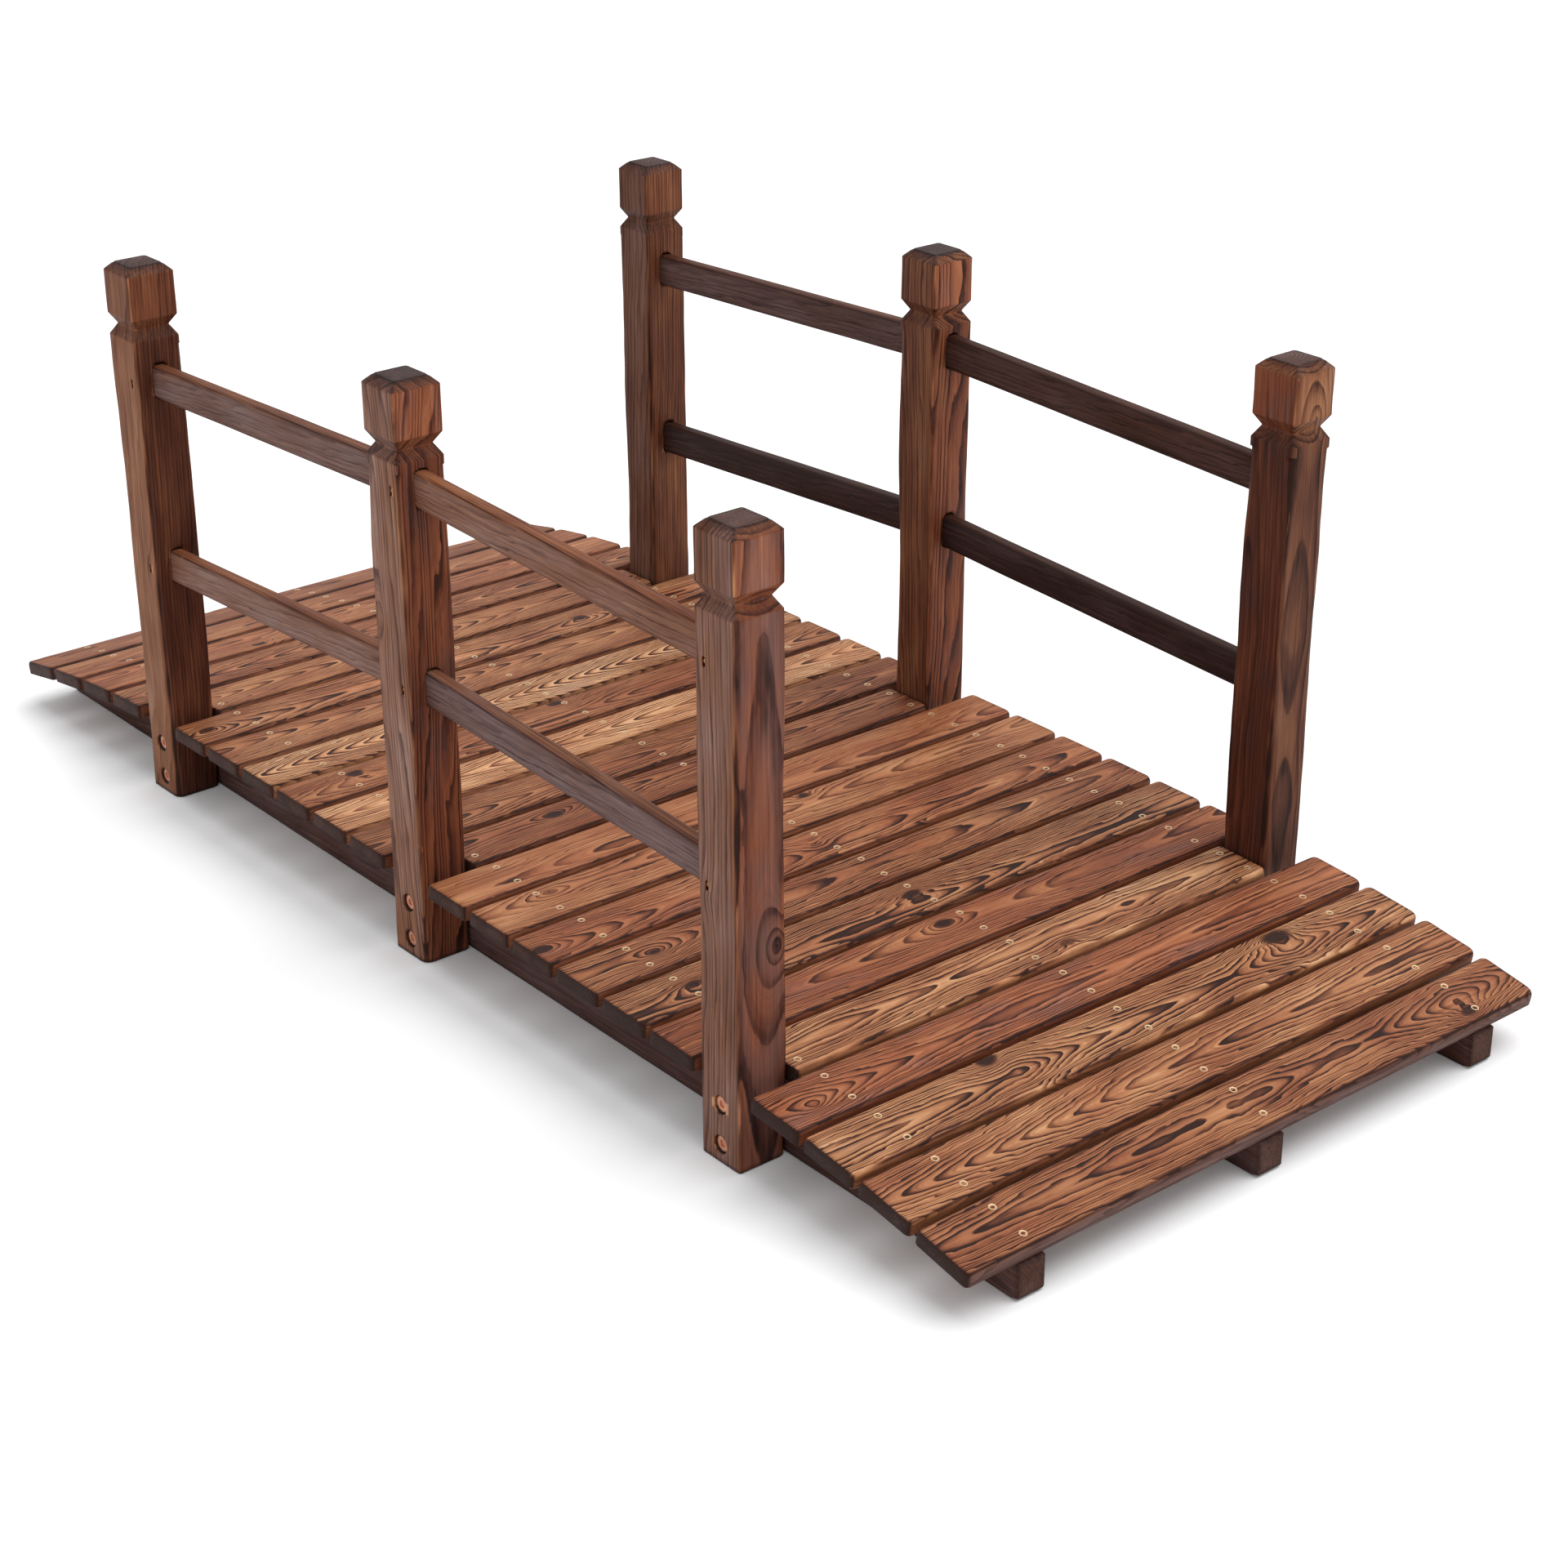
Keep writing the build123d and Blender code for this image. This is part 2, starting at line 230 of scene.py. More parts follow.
# Post: looks of the faces that look along the bridge and across it, as darkness, contrast
# and redness (greyer below 0 and above 1); what painted light on its head adds to the darkness
# of each; the pith's place along the bridge and across it and the width of a ring, in mm,
# and how far the rings wander.
# Where a post's faces across the bridge are greyer than those along it, the grey is partly the
# wood's own and partly painted sheen.
POSTS = {
    "right_start": ((0.72, 0.24, 0.7), (0.51, 0.15, 0.1), (-0.15, 0.05), (50, 60, 3.4, 0.35)),
    "right_middle": ((0.54, 0.46, 1.0), (0.44, 0.36, -0.35), (-0.19, 0.07), (-60, 74, 3.4, 0.35)),
    "right_finish": ((0.49, 0.38, 1.3), (0.51, 0.27, -0.36), (-0.08, 0.03), (-60, 3, 4.4, 0.3)),
    "left_start": ((0.60, 0.26, 0.4), (0.62, 0.20, -0.2), (-0.10, 0.02), (40, 44, 3.4, 0.35)),
    "left_middle": ((0.46, 0.56, 1.0), (0.58, 0.32, 0.2), (-0.16, 0.0), (-62, 34, 3.4, 0.35)),
    "left_finish": ((0.64, 0.36, 0.2), (0.71, 0.20, 1.0), (-0.22, -0.20), (-18, -4, 3.6, 0.25)),
}
POST_ENDS = {"start": (0.84, 0.22, -0.5), "middle": (0.89, 0.22, -0.5),
             "finish": (0.75, 0.22, -0.5)}
RAIL_END = (0.75, 0.22, -0.5)
# Post: heights above the ground in mm, and the age of its finish face's middle there.
POST_AGES = {
    "right_finish": ((0, 2.0), (60, 1.6), (100, 1.2), (119, 1.0), (134, 0.82), (150, 0.64),
                     (165, 0.52), (196, 0.46), (225, 0.44), (270, 0.42), (300, 0.44), (340, 0.50),
                     (380, 0.64), (400, 0.78), (430, 0.93), (455, 1.0), (480, 1.15), (500, 1.3),
                     (549, 1.6)),
    "left_finish": ((0, 1.3), (80, 1.0), (140, 0.75), (200, 1.3), (250, 1.0), (300, 0.5),
                    (350, 0.8), (400, 1.2), (549, 2.6)),
}
# Post: knots as (1 on a face along the bridge or 0 across it, place on it, height, rings).
POST_KNOTS = {
    "right_finish": ((1, 15, 196, -4.0), (0, -11, 236, 1.9)),
    "left_finish": ((1, 4, 500, -2.4),),
    "right_middle": ((0, -14, 330, -1.8),),
}
# Rail: darkness and redness of its sides, whose grey is a painted sheen. Its top is a little
# darker and much redder.
RAILS = {
    "upper_left_start": (0.72, -0.7), "upper_left_finish": (0.83, -0.4),
    "upper_right_start": (0.61, -0.6), "upper_right_finish": (0.51, -0.4),
    "lower_left_start": (0.91, -0.5), "lower_left_finish": (0.95, -0.5),
    "lower_right_start": (0.49, -0.6), "lower_right_finish": (0.58, -1.0),
}
RAIL_CONTRAST = 0.16
RAIL_TOP_CONTRAST = 0.32
RAIL_TOP_DARKER = 0.01
RAIL_TOP_REDDER = 1.0
BEAM_LOOK = (0.74, 0.16, -0.6)
BEAM_END = (0.81, 0.10, -0.2)
RUB_MIDDLE = 0.4               # share of its wear that an arris has, on the whole
RUB_SWING = 1.4                # how far noise swings that, up to the most
RUB_MOST = 1.3
RUB_WAVE = 35                  # mm
# Noise in the shaders: size in mm across the wood and along it, detail, roughness.
SCORCH = (16, 48, 2.0, 0.6)
FIBRE = (0.7, 38, 2.0, 0.6)
STREAK = (2.6, 120, 2.0, 0.55)
PATCH = (30, 95, 2.0, 0.55)
VIGOUR = (11, 60, 2.0, 0.6)
BARE = (9, 26, 2.0, 0.6)
GRIME = (1.1, 1.1, 3.0, 0.6)
SCRATCHES = (0.4, 2.0)
# What the rings wander by: how many rings, and the noise.
WAVERS = ((0.5, (40, 140, 1.0)), (0.45, (10, 40)), (0.14, (3.5, 15, 1.0)))
LEAST_WAVER = 0.15             # the share of that left where rings lie flat on a face
# Noise along the rings: how fast it runs, and how far it swings.
RING_STRAY = (0.45, 0.4)
RING_DEPTH = (0.8, 0.22)
RING_LINES = (7.0, 0.06)
RING_DARK = 0.88               # how dark late wood is, on the whole
# Where an effect comes in and is whole: in rings, then in shares of a knot's rings, then mm.
ASIDE_RINGS = (0.5, 7.0)
KNOT_RINGS = (2.5, 6.0)
KNOT_CORE = (0.06, 0.16)
# Painted shade along an arris fades over these mm.
ARRIS_SHADE_ZONE = (0.0, 6.0)
RUBBED_ZONE = (3.0, 8.0)
# Painted shade inside sockets and bores comes in over these mm from the nearest face.
RECESS_SHADE_ZONE = (0.6, 2.2)
RECESS_ZONE = (-0.9, -0.1)
# The same for a noise or the late wood.
BARE_RANGE = (0.75, 1.15)
BURNT_SCORCH = (0.2, 1.1)
BURNT_LATE = (0.2, 0.9)
GRIME_RANGE = (0.3, 1.2)
# How far a noise of 1 moves a knot's core, an arris's painted shade and the edge of a recess's
# darker zone.
CORE_STRAY = 0.25
ARRIS_STRAY = 1.2
GRIME_STRAY = 0.1
VIGOUR_MIDDLE = 0.62
VIGOUR_SWING = 0.5
LEAST_CONTRAST = 0.30          # the share of it that dull wood has
VIGOUR_CONTRAST = 0.85         # and what full vigour adds
# How late the wood is through one ring: pale early wood that darkens to a sharp dark rim.
LATE_WOOD = ((0.0, 0.35), (0.05, 0.0), (0.30, 0.09), (0.57, 0.26), (0.78, 0.70), (0.92, 1.0),
             (1.0, 0.88))
# Colours at even steps of darkness, as 0 to 255 display values.
DARKNESS_STOPS = (0.0, 0.25, 0.50, 0.75, 1.0)
TAN_WOOD = ((220, 172, 130), (178, 127, 88), (134, 86, 57), (86, 49, 33), (44, 23, 16))
RED_WOOD = ((208, 142, 98), (168, 102, 68), (127, 70, 46), (80, 41, 28), (42, 20, 14))
DULL_WOOD = ((206, 178, 162), (168, 138, 127), (122, 96, 91), (80, 60, 59), (40, 29, 31))
# What each part of the figure adds to the darkness; the arris and socket parts are painted shade.
FIBRE_SHADE = 0.06
STREAK_SHADE = 0.09
PATCH_SHADE = 0.09
SCORCH_SHADE = 0.5
# Painted shade along every arris.
ARRIS_PAINTED_SHADE = 0.12
# Painted shade inside sockets, bores and counterbores.
RECESS_PAINTED_SHADE = 0.45
RUBBED_SHADE = 0.6             # this one is taken away
KNOT_SHADE = 0.8
PATCH_HUE = 0.4
WOOD_ROUGHNESS = 0.52
FIBRE_ROUGHNESS = 0.05
LATE_ROUGHNESS = 0.08
WOOD_SPECULAR = 0.12
LATE_RELIEF = 0.16             # mm
FIBRE_RELIEF = 0.035
STREAK_RELIEF = 0.03
WOOD_BUMP = 0.8
METAL_SHARE = 0.55
GRIME_MOST = 0.6               # the share of dirt outside the recess
STAIN_ROUGHNESS = 0.4
METAL_RELIEF = 0.02
METAL_BUMP = 1.0


def srgb(red, green, blue):
    """A colour given as 0 to 255 display values, in the linear values that nodes take."""
    def linear(value):
        part = value / 255
        return part / 12.92 if part <= 0.04045 else ((part + 0.055) / 1.055) ** 2.4
    return (linear(red), linear(green), linear(blue), 1.0)


def grey(value):
    return (value, value, value, 1.0)


# ------------------------- reading the frame
class Solid:
    """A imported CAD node: its box, and rays cast at its surface."""

    def __init__(self, name):
        self.name = name
        self.low, self.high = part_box(name)
        self.middle = (self.low + self.high) / 2
        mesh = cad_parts[name].data
        corners = [v.co.copy() for v in mesh.vertices]
        self.tree = BVHTree.FromPolygons(corners, [p.vertices[:] for p in mesh.polygons])

    def hit(self, start, direction):
        """The first point of the surface from start, in a direction."""
        point, _, _, _ = self.tree.ray_cast(Vector(start), Vector(direction))
        return point

    def depth(self, start, direction):
        return (self.hit(start, direction) - Vector(start)).length


class Timber:
    """A stick of wood: a line of sections, and its own across, up and along axes."""

    def __init__(self, solid, across, up, along, seed):
        self.solid = solid
        self.across, self.up, self.along = Vector(across), Vector(up), Vector(along)
        self.seed = seed
        self.origin = solid.middle
        self.sections = []      # (centre, half width across, half height up)

    def seeded(self, place, wave, channel):
        """Smooth noise from -1 to 1 along the timber."""
        row = channel * CHANNEL_SPACING + CHANNEL_START
        return noise.noise(Vector((place / wave, self.seed * SEED_SPACING, row)))

    def wander(self, along, wave, channel):
        """The same noise for an array of places along the timber, all in mm."""
        stations = np.linspace(along.min(), along.max(), WANDER_STATIONS)
        values = [self.seeded(station, wave, channel) for station in stations]
        return np.interp(along, stations, values)


def spread(first, last, step):
    """Places from first to last, both included, about a step apart."""
    count = max(2, round((last - first) / step) + 1)
    return [first + (last - first) * i / (count - 1) for i in range(count)]


def read_board(number):
    """A deck board, found by rays from above and from inside: tilt, thickness and width."""
    solid = Solid(f"plank_{number:02d}")
    above = solid.high.z + BOARD_PROBE
    probe_y = solid.middle.y + BOARD_PROBE
    ahead = solid.hit((solid.middle.x + BOARD_PROBE, probe_y, above), (0, 0, -1))
    behind = solid.hit((solid.middle.x - BOARD_PROBE, probe_y, above), (0, 0, -1))
    across = (ahead - behind).normalized()
    up = Vector((-across.z, 0, across.x))
    top = (ahead + behind) / 2
    thickness = solid.depth(top - up * RAY_LIFT, -up) + RAY_LIFT
    core = top - up * thickness / 2
    right, left = solid.depth(core, across), solid.depth(core, -across)
    board = Timber(solid, across, up, (0, 1, 0), number)
    centre = core + across * (right - left) / 2
    board.origin = Vector((centre.x, solid.middle.y, centre.z))
    for y in spread(solid.low.y, solid.high.y, BOARD_STEP):
        place = Vector((centre.x, y, centre.z))
        board.sections.append((place, (right + left) / 2, thickness / 2))
    return board


def read_bar(name, step, seed):
    """A rail or a stringer along X, whose top and underside rays find at every step."""
    solid = Solid(name)
    bar = Timber(solid, (0, 1, 0), (0, 0, 1), (1, 0, 0), seed)
    half_width = (solid.high.y - solid.low.y) / 2
    for x in spread(solid.low.x + END_MARGIN, solid.high.x - END_MARGIN, step):
        top = solid.hit((x, solid.middle.y, solid.high.z + MM), (0, 0, -1)).z
        floor = solid.hit((x, solid.middle.y, solid.low.z - MM), (0, 0, 1)).z
        centre = Vector((x, solid.middle.y, (top + floor) / 2))
        bar.sections.append((centre, half_width, (top - floor) / 2))
    return bar


def read_post(name, seed):
    """A post along Z, whose outline is read on its walkway face, beside the bolt bores."""
    solid = Solid(name)
    post = Timber(solid, (1, 0, 0), (0, 1, 0), (0, 0, 1), seed)
    post.origin = Vector((solid.middle.x, solid.middle.y, 0))
    inward = -math.copysign(1, solid.middle.y)
    body = spread(solid.low.z + END_MARGIN, solid.high.z - HEAD_ZONE, POST_STEP)
    head = spread(solid.high.z - HEAD_ZONE, solid.high.z - END_MARGIN, HEAD_STEP)
    for z in body + head[1:]:
        start = (solid.middle.x + POST_PROBE, solid.middle.y + inward * PROBE_DISTANCE, z)
        half = abs(solid.hit(start, (0, -inward, 0)).y - solid.middle.y)
        post.sections.append((Vector((solid.middle.x, solid.middle.y, z)), half, half))
    return post


# ------------------------------ timber skins
def ring(half_across, half_up, radii, flats):
    """Points and normals of a rounded rectangle: an arc at each corner, flats between."""
    arcs = []
    for corner, (sx, sy) in enumerate(((1, -1), (1, 1), (-1, 1), (-1, -1))):
        radius = min(radii[corner], half_across * ROUNDEST, half_up * ROUNDEST)
        middle = np.array((sx * (half_across - radius), sy * (half_up - radius)))
        arc = []
        for i in range(ARC_POINTS):
            angle = math.radians((-90, 0, 90, 180)[corner] + 90 * i / (ARC_POINTS - 1))
            turn = np.array((math.cos(angle), math.sin(angle)))
            arc.append((middle + turn * radius, turn))
        arcs.append(arc)
    points = []
    for corner, arc in enumerate(arcs):
        points += arc
        (start, turn), (end, _) = arc[-1], arcs[(corner + 1) % 4][0]
        for i in range(1, flats[corner] + 1):
            points.append((start + (end - start) * i / (flats[corner] + 1), turn))
    return points


def arc_inset(radius, far):
    """How far a quarter round of this radius draws in, at a distance from the end."""
    if far >= radius:
        return 0.0
    return radius - math.sqrt(radius ** 2 - (radius - far) ** 2)


def with_eased_ends(sections, end_ease, plan_ease):
    """Adds close sections at both ends, where the outline draws in round an arc."""
    reach = max(end_ease, plan_ease)

    def eased(end, beyond):
        centre, across, up = end
        direction = (beyond[0] - centre).normalized()
        made = []
        for i in range(END_EASE_STEPS + 1):
            far = reach * (1 - math.cos(math.pi / 2 * i / END_EASE_STEPS))
            made.append((centre + direction * far, across, up,
                         arc_inset(end_ease, far), arc_inset(plan_ease, far)))
        return made

    first, last = sections[0][0], sections[-1][0]
    body = [(centre, across, up, 0.0, 0.0) for centre, across, up in sections
            if min((centre - first).length, (centre - last).length) > reach * EASE_CLEARANCE]
    finish = eased(sections[-1], sections[-2])
    return eased(sections[0], sections[1]) + body + finish[::-1]


def build_skin(timber, name, corner_radius, flats, end_ease, plan_ease, waviness):
    """Lofts a timber's sections into one closed mesh, with worn corners and eased ends."""
    mesh = bmesh.new()
    loops = []
    sections = with_eased_ends(timber.sections, end_ease, plan_ease)
    for centre, across, up, ease, side_ease in sections:
        place = (centre - timber.origin).dot(timber.along)
        radii = [corner_radius(timber, place, corner) for corner in range(4)]
        shrink = SKIN_INSET + ease
        loop = []
        for point, turn in ring(across - shrink - side_ease, up - shrink, radii, flats):
            run = place / WAVE_ALONG + timber.seed * WAVE_SPACING
            spot = Vector((*(point / WAVE_ROUND), run))
            dip = waviness * (0.5 + 0.5 * noise.noise(spot))
            x, y = point - turn * dip
            loop.append(mesh.verts.new(centre + timber.across * x + timber.up * y))
        loops.append(loop)
    for before, after in zip(loops, loops[1:]):
        for i in range(len(before)):
            j = (i + 1) % len(before)
            mesh.faces.new((before[i], before[j], after[j], after[i]))
    mesh.faces.new(loops[0][::-1])
    mesh.faces.new(loops[-1])
    bmesh.ops.recalc_face_normals(mesh, faces=mesh.faces)
    return link_mesh(mesh, name)


def link_mesh(mesh, name):
    """Turns a bmesh into an object of the scene."""
    data = bpy.data.meshes.new(name)
    mesh.to_mesh(data)
    mesh.free()
    made = bpy.data.objects.new(name, data)
    bpy.context.scene.collection.objects.link(made)
    return made


def swung(timber, place, shape, channel):
    """A corner's radius in mm, as noise swings it."""
    radius, swing, wave = shape
    return radius + swing * timber.seeded(place, wave, channel)


def worn_off(timber, place, shape, channel):
    """What chips or wane add to a corner's radius, in mm."""
    most, wave, bias = shape
    return most * max(0.0, timber.seeded(place, wave, channel) + bias)


def board_corner(timber, place, corner):
    """Top corners (1 and 2) are brushed round and chipped, bottom ones stay crisp."""
    if corner in (0, 3):
        return BOARD_UNDER_CORNER * MM
    chips = worn_off(timber, place, CHIPS, corner + CHIP_CHANNEL)
    return (swung(timber, place, BOARD_CORNER, corner) + chips) * MM


def post_corner(timber, place, corner):
    """Post corners run between a crisp arris and a broad waney chamfer."""
    radius = swung(timber, place, POST_CORNER, corner + CHIP_CHANNEL)
    if place <= timber.solid.high.z - HEAD_ZONE:
        radius += worn_off(timber, place, WANE, corner)
    return radius * MM


def rail_corner(timber, place, corner):
    return swung(timber, place, RAIL_CORNER, corner) * MM


def beam_corner(timber, place, corner):
    return swung(timber, place, BEAM_CORNER, corner) * MM


def cut_like_solid(skin, name):
    """Keeps of the skin what lies in the CAD solid, so that its sockets and bores show."""
    mesh = bmesh.new()
    mesh.from_mesh(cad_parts[name].data)
    bmesh.ops.remove_doubles(mesh, verts=mesh.verts, dist=WELD)
    cutter = link_mesh(mesh, "cutter")
    cut = skin.modifiers.new("cut", "BOOLEAN")
    cut.operation, cut.solver, cut.object = "INTERSECT", "EXACT", cutter
    graph = bpy.context.evaluated_depsgraph_get()
    made = bpy.data.meshes.new_from_object(skin.evaluated_get(graph))
    skin.modifiers.clear()
    skin.data = made
    bpy.data.objects.remove(cutter)


# -------------------------- wood coordinates
def paint_grain(skin, timber, pith, looks, wear, waver=1.0, head=None, knots=()):
    """Writes what the timber shader reads at each point.

    rings: place from the pith across and up, and the age along, all in rings. place: from
    the middle of the stick, in mm. grain: the same, but apart from every other stick's.
    half: half its size. waver: how far the rings wander. tone: darkness, contrast and
    redness. knot_0, knot_1: place from a knot on its face in mm, and the rings it draws in."""
    data = skin.data
    places = read_vectors(data, "co")
    away = (places - np.array(timber.origin)) / MM
    axes = (timber.across, timber.up, timber.along)
    across, up, along = (away @ np.array(axis) for axis in axes)
    centres = [(section[0] - timber.origin) / MM for section in timber.sections]
    stations = [centre.dot(timber.along) for centre in centres]
    rise = [centre.dot(timber.up) for centre in centres]
    half = [np.interp(along, stations, [section[i] / MM for section in timber.sections])
            for i in (1, 2)]
    half.append((stations[-1] - stations[0]) / 2)
    up = up - np.interp(along, stations, rise)
    pith_across, pith_up, ring_width, age = pith(along)
    middle = along - (stations[0] + stations[-1]) / 2
    write(data, "rings", (across - pith_across) / ring_width, (up - pith_up) / ring_width, age)
    write(data, "place", across, up, middle)
    write(data, "grain", across, up, along + timber.seed * GRAIN_SPACING)
    write(data, "half", *half)
    write(data, "waver", waver, waver, waver)
    rim = np.clip(RIM - (half[2] - np.abs(middle)), 0, 1)
    write(data, "tone", *blend_looks(data, timber, looks, wear, head, along, rim))
    for channel in range(KNOT_CHANNELS):
        axis, flat, spot, rings = knots[channel] if channel < len(knots) else NO_KNOT
        side = up if axis else across
        write(data, f"knot_{channel}", side - flat, along - spot, rings)


def blend_looks(data, timber, looks, wear, head, along, rim):
    """Darkness, contrast and redness at each point, out of the looks of the faces that look
    across, up and along. Worn arrises are lighter, and painted light gives a head its own
    darkness, mostly lighter than the body."""
    facing = read_vectors(data, "normal")
    side, face, tilt = ((facing @ np.array(axis)) ** 2
                        for axis in (timber.across, timber.up, timber.along))
    side, face = side / (side + face + 1e-6), face / (side + face + 1e-6)
    side_look, face_look, end_look = (np.array(look)[:, None] for look in looks)
    tone = side * side_look + face * face_look
    rubbed = RUB_MIDDLE + RUB_SWING * timber.wander(along, RUB_WAVE, RUBBED)
    rubbed = np.clip(rubbed, 0, RUB_MOST)
    tone[0] -= wear * rubbed * (4 * side * face) ** 2
    # Painted light on the head: above a height its faces take their own darkness, mostly lighter
    # than the shaded body below.
    if head:
        height, head_light_side, head_light_face = head
        within = np.clip((along - height) / HEAD_LIGHT_BLEND, 0, 1)
        tone[0] += within * (head_light_side * side + head_light_face * face)
    end = np.maximum(rim, tilt)
    return tone * (1 - end) + end_look * end


def read_vectors(data, name):
    """A vector of each vertex of a mesh, in rows."""
    values = np.zeros(len(data.vertices) * 3, np.float32)
    data.vertices.foreach_get(name, values)
    return values.reshape(-1, 3).astype(float)


def write(data, name, *columns):
    """Stores a vector at each vertex, from three columns or constants."""
    layer = data.attributes.new(name, "FLOAT_VECTOR", "POINT")
    values = np.stack([np.broadcast_to(column, len(data.vertices)) for column in columns], 1)
    layer.data.foreach_set("vector", values.astype(np.float32).ravel())


def finish_skin(skin, timber):
    """Smooth shading with crisp arrises, the timber shader, and its place in the part."""
    skin.data.shade_smooth()
    skin.data.set_sharp_from_angle(angle=math.radians(SKIN_SHARP))
    skin.data.materials.clear()
    skin.data.materials.append(TIMBER)
    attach(skin, "root")
    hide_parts(timber.solid.name)


# --------------------------- shader building
class Field:
    """A socket of a shader tree that arithmetic can be written with."""

    def __init__(self, tree, socket):
        self.tree, self.socket = tree, socket

    def __add__(self, other):
        return op("ADD", self, other)

    def __sub__(self, other):
        return op("SUBTRACT", self, other)

    def __rsub__(self, other):
        return op("SUBTRACT", other, self)

    def __mul__(self, other):
        return op("MULTIPLY", self, other)

    def __truediv__(self, other):
        return op("DIVIDE", self, other)

    __radd__, __rmul__ = __add__, __mul__


def feed(target, value):
    """Links a field to a socket, or sets the socket's own value."""
    if isinstance(value, Field):
        value.tree.links.new(value.socket, target)
    else:
        target.default_value = value


def add_node(tree, kind, values=(), output=0, **settings):
    """Adds a node, from its settings and its inputs by name or number."""
    made = tree.nodes.new(kind)
    for name, value in settings.items():
        setattr(made, name, value)
    for key, value in dict(values).items():
        feed(made.inputs[key], value)
    return Field(tree, made.outputs[output])


def op(operation, *values, clamp=False):
    tree = next(value.tree for value in values if isinstance(value, Field))
    return add_node(tree, "ShaderNodeMath", enumerate(values),
                    operation=operation, use_clamp=clamp)


def clamped(value):
    return op("MULTIPLY", value, 1.0, clamp=True)


def smooth(value, low, high):
    """0 below low and 1 above high, with an easy step between."""
    inputs = {"Value": value, "From Min": low, "From Max": high}
    return add_node(value.tree, "ShaderNodeMapRange", inputs, interpolation_type="SMOOTHSTEP")


def distance(first, second):
    return op("SQRT", first * first + second * second)


def parts(vector):
    split = add_node(vector.tree, "ShaderNodeSeparateXYZ", {0: vector}).socket.node
    return [Field(vector.tree, output) for output in split.outputs]


def cloud(vector, across, along, detail=2.0, roughness=0.5):
    """Noise from about -1 to 1, with its size in mm across the wood and along it."""
    size = (1 / across, 1 / across, 1 / along)
    scaled = add_node(vector.tree, "ShaderNodeVectorMath", {0: vector, 1: size},
                      operation="MULTIPLY")
    inputs = {"Vector": scaled, "Scale": 1.0, "Detail": detail, "Roughness": roughness}
    return add_node(vector.tree, "ShaderNodeTexNoise", inputs) * 4.0 - 2.0


def wobble(value, rate, swing):
    """Noise over a number, from about -swing to swing."""
    inputs = {"W": value * rate, "Scale": 1.0, "Detail": 0.0}
    made = add_node(value.tree, "ShaderNodeTexNoise", inputs, noise_dimensions="1D")
    return (made * 4.0 - 2.0) * swing


def ramp(value, *stops):
    """A colour for each value, between stops of (place, colour)."""
    result = add_node(value.tree, "ShaderNodeValToRGB", {0: value})
    points = result.socket.node.color_ramp.elements
    for place, _ in stops[2:]:
        points.new(place)
    for point, (place, colour) in zip(points, stops):
        point.position, point.color = place, colour
    return result


def mixed(first, second, share):
    """The first colour, with a share of the second."""
    made = add_node(first.tree, "ShaderNodeMix", data_type="RGBA").socket.node
    sockets = {socket.name: socket for socket in made.inputs if socket.enabled}
    for name, value in (("Factor", share), ("A", first), ("B", second)):
        feed(sockets[name], value)
    return Field(first.tree, next(output for output in made.outputs if output.enabled))


def stored(tree, name):
    """A vector that the mesh stores at each point."""
    return add_node(tree, "ShaderNodeAttribute", output="Vector", attribute_name=name)


def new_material(name):
    material = bpy.data.materials.new(name)
    material.use_nodes = True
    return material, material.node_tree, material.node_tree.nodes["Principled BSDF"]


def set_bump(shader, relief, strength):
    """Relief, in mm, on the shader's normal."""
    inputs = {"Height": relief, "Strength": strength, "Distance": MM}
    feed(shader.inputs["Normal"], add_node(relief.tree, "ShaderNodeBump", inputs))


def in_sight(tree):
    """1 for what the camera sees, itself or in a reflection or through glass."""
    rays = [add_node(tree, "ShaderNodeLightPath", output=f"Is {kind} Ray")
            for kind in ("Camera", "Glossy", "Transmission")]
    return clamped(rays[0] + rays[1] + rays[2])


# --------------------------------- materials
def ring_age(tree, grain, scorch):
    """The wood's age at each point in rings, which knots bend, and the knots' dark cores."""
    across, up, growth = parts(stored(tree, "rings"))
    radius = distance(across, up)
    waver = sum(cloud(grain, *kind) * swing for swing, kind in WAVERS)
    waver = waver * parts(stored(tree, "waver"))[0] + wobble(radius, *RING_STRAY)
    # Rings that lie flat on a face swing its arches far, so there they wander less.
    aside = op("MINIMUM", op("ABSOLUTE", across), op("ABSOLUTE", up))
    aside = smooth(aside, *ASIDE_RINGS)
    age = radius + growth + waver * (aside * (1 - LEAST_WAVER) + LEAST_WAVER)
    cores = 0.0
    for channel in range(KNOT_CHANNELS):
        side, run, rings = parts(stored(tree, f"knot_{channel}"))
        reach = distance(side / KNOT_ACROSS, run / KNOT_ALONG)
        age = age + rings * op("EXPONENT", reach * KNOT_FADE)
        size = op("ABSOLUTE", rings)
        core = 1.0 - smooth(reach + scorch * CORE_STRAY, *(size * part for part in KNOT_CORE))
        cores = core * smooth(size, *KNOT_RINGS) + cores
    return age, cores


def edge_distances(tree):
    """Distances in mm from each point to the nearest arris and to the nearest face."""
    halves, places = parts(stored(tree, "half")), parts(stored(tree, "place"))
    across, up, end = (half - op("ABSOLUTE", place) for half, place in zip(halves, places))
    side = op("MINIMUM", across, up)
    arris = op("MINIMUM", op("MAXIMUM", across, up), op("MAXIMUM", side, end))
    return arris, op("MINIMUM", side, end)


def wood_colour(dark, hue):
    """Tan wood at a hue of 0 and red at 1, which is greyer below 0 and above 1."""
    tan, red, dull = (ramp(dark, *zip(DARKNESS_STOPS, (srgb(*colour) for colour in wood)))
                      for wood in (TAN_WOOD, RED_WOOD, DULL_WOOD))
    greyed = clamped(hue * -1.0) + clamped(hue - 1.0)
    return mixed(mixed(tan, red, clamped(hue)), dull, greyed)


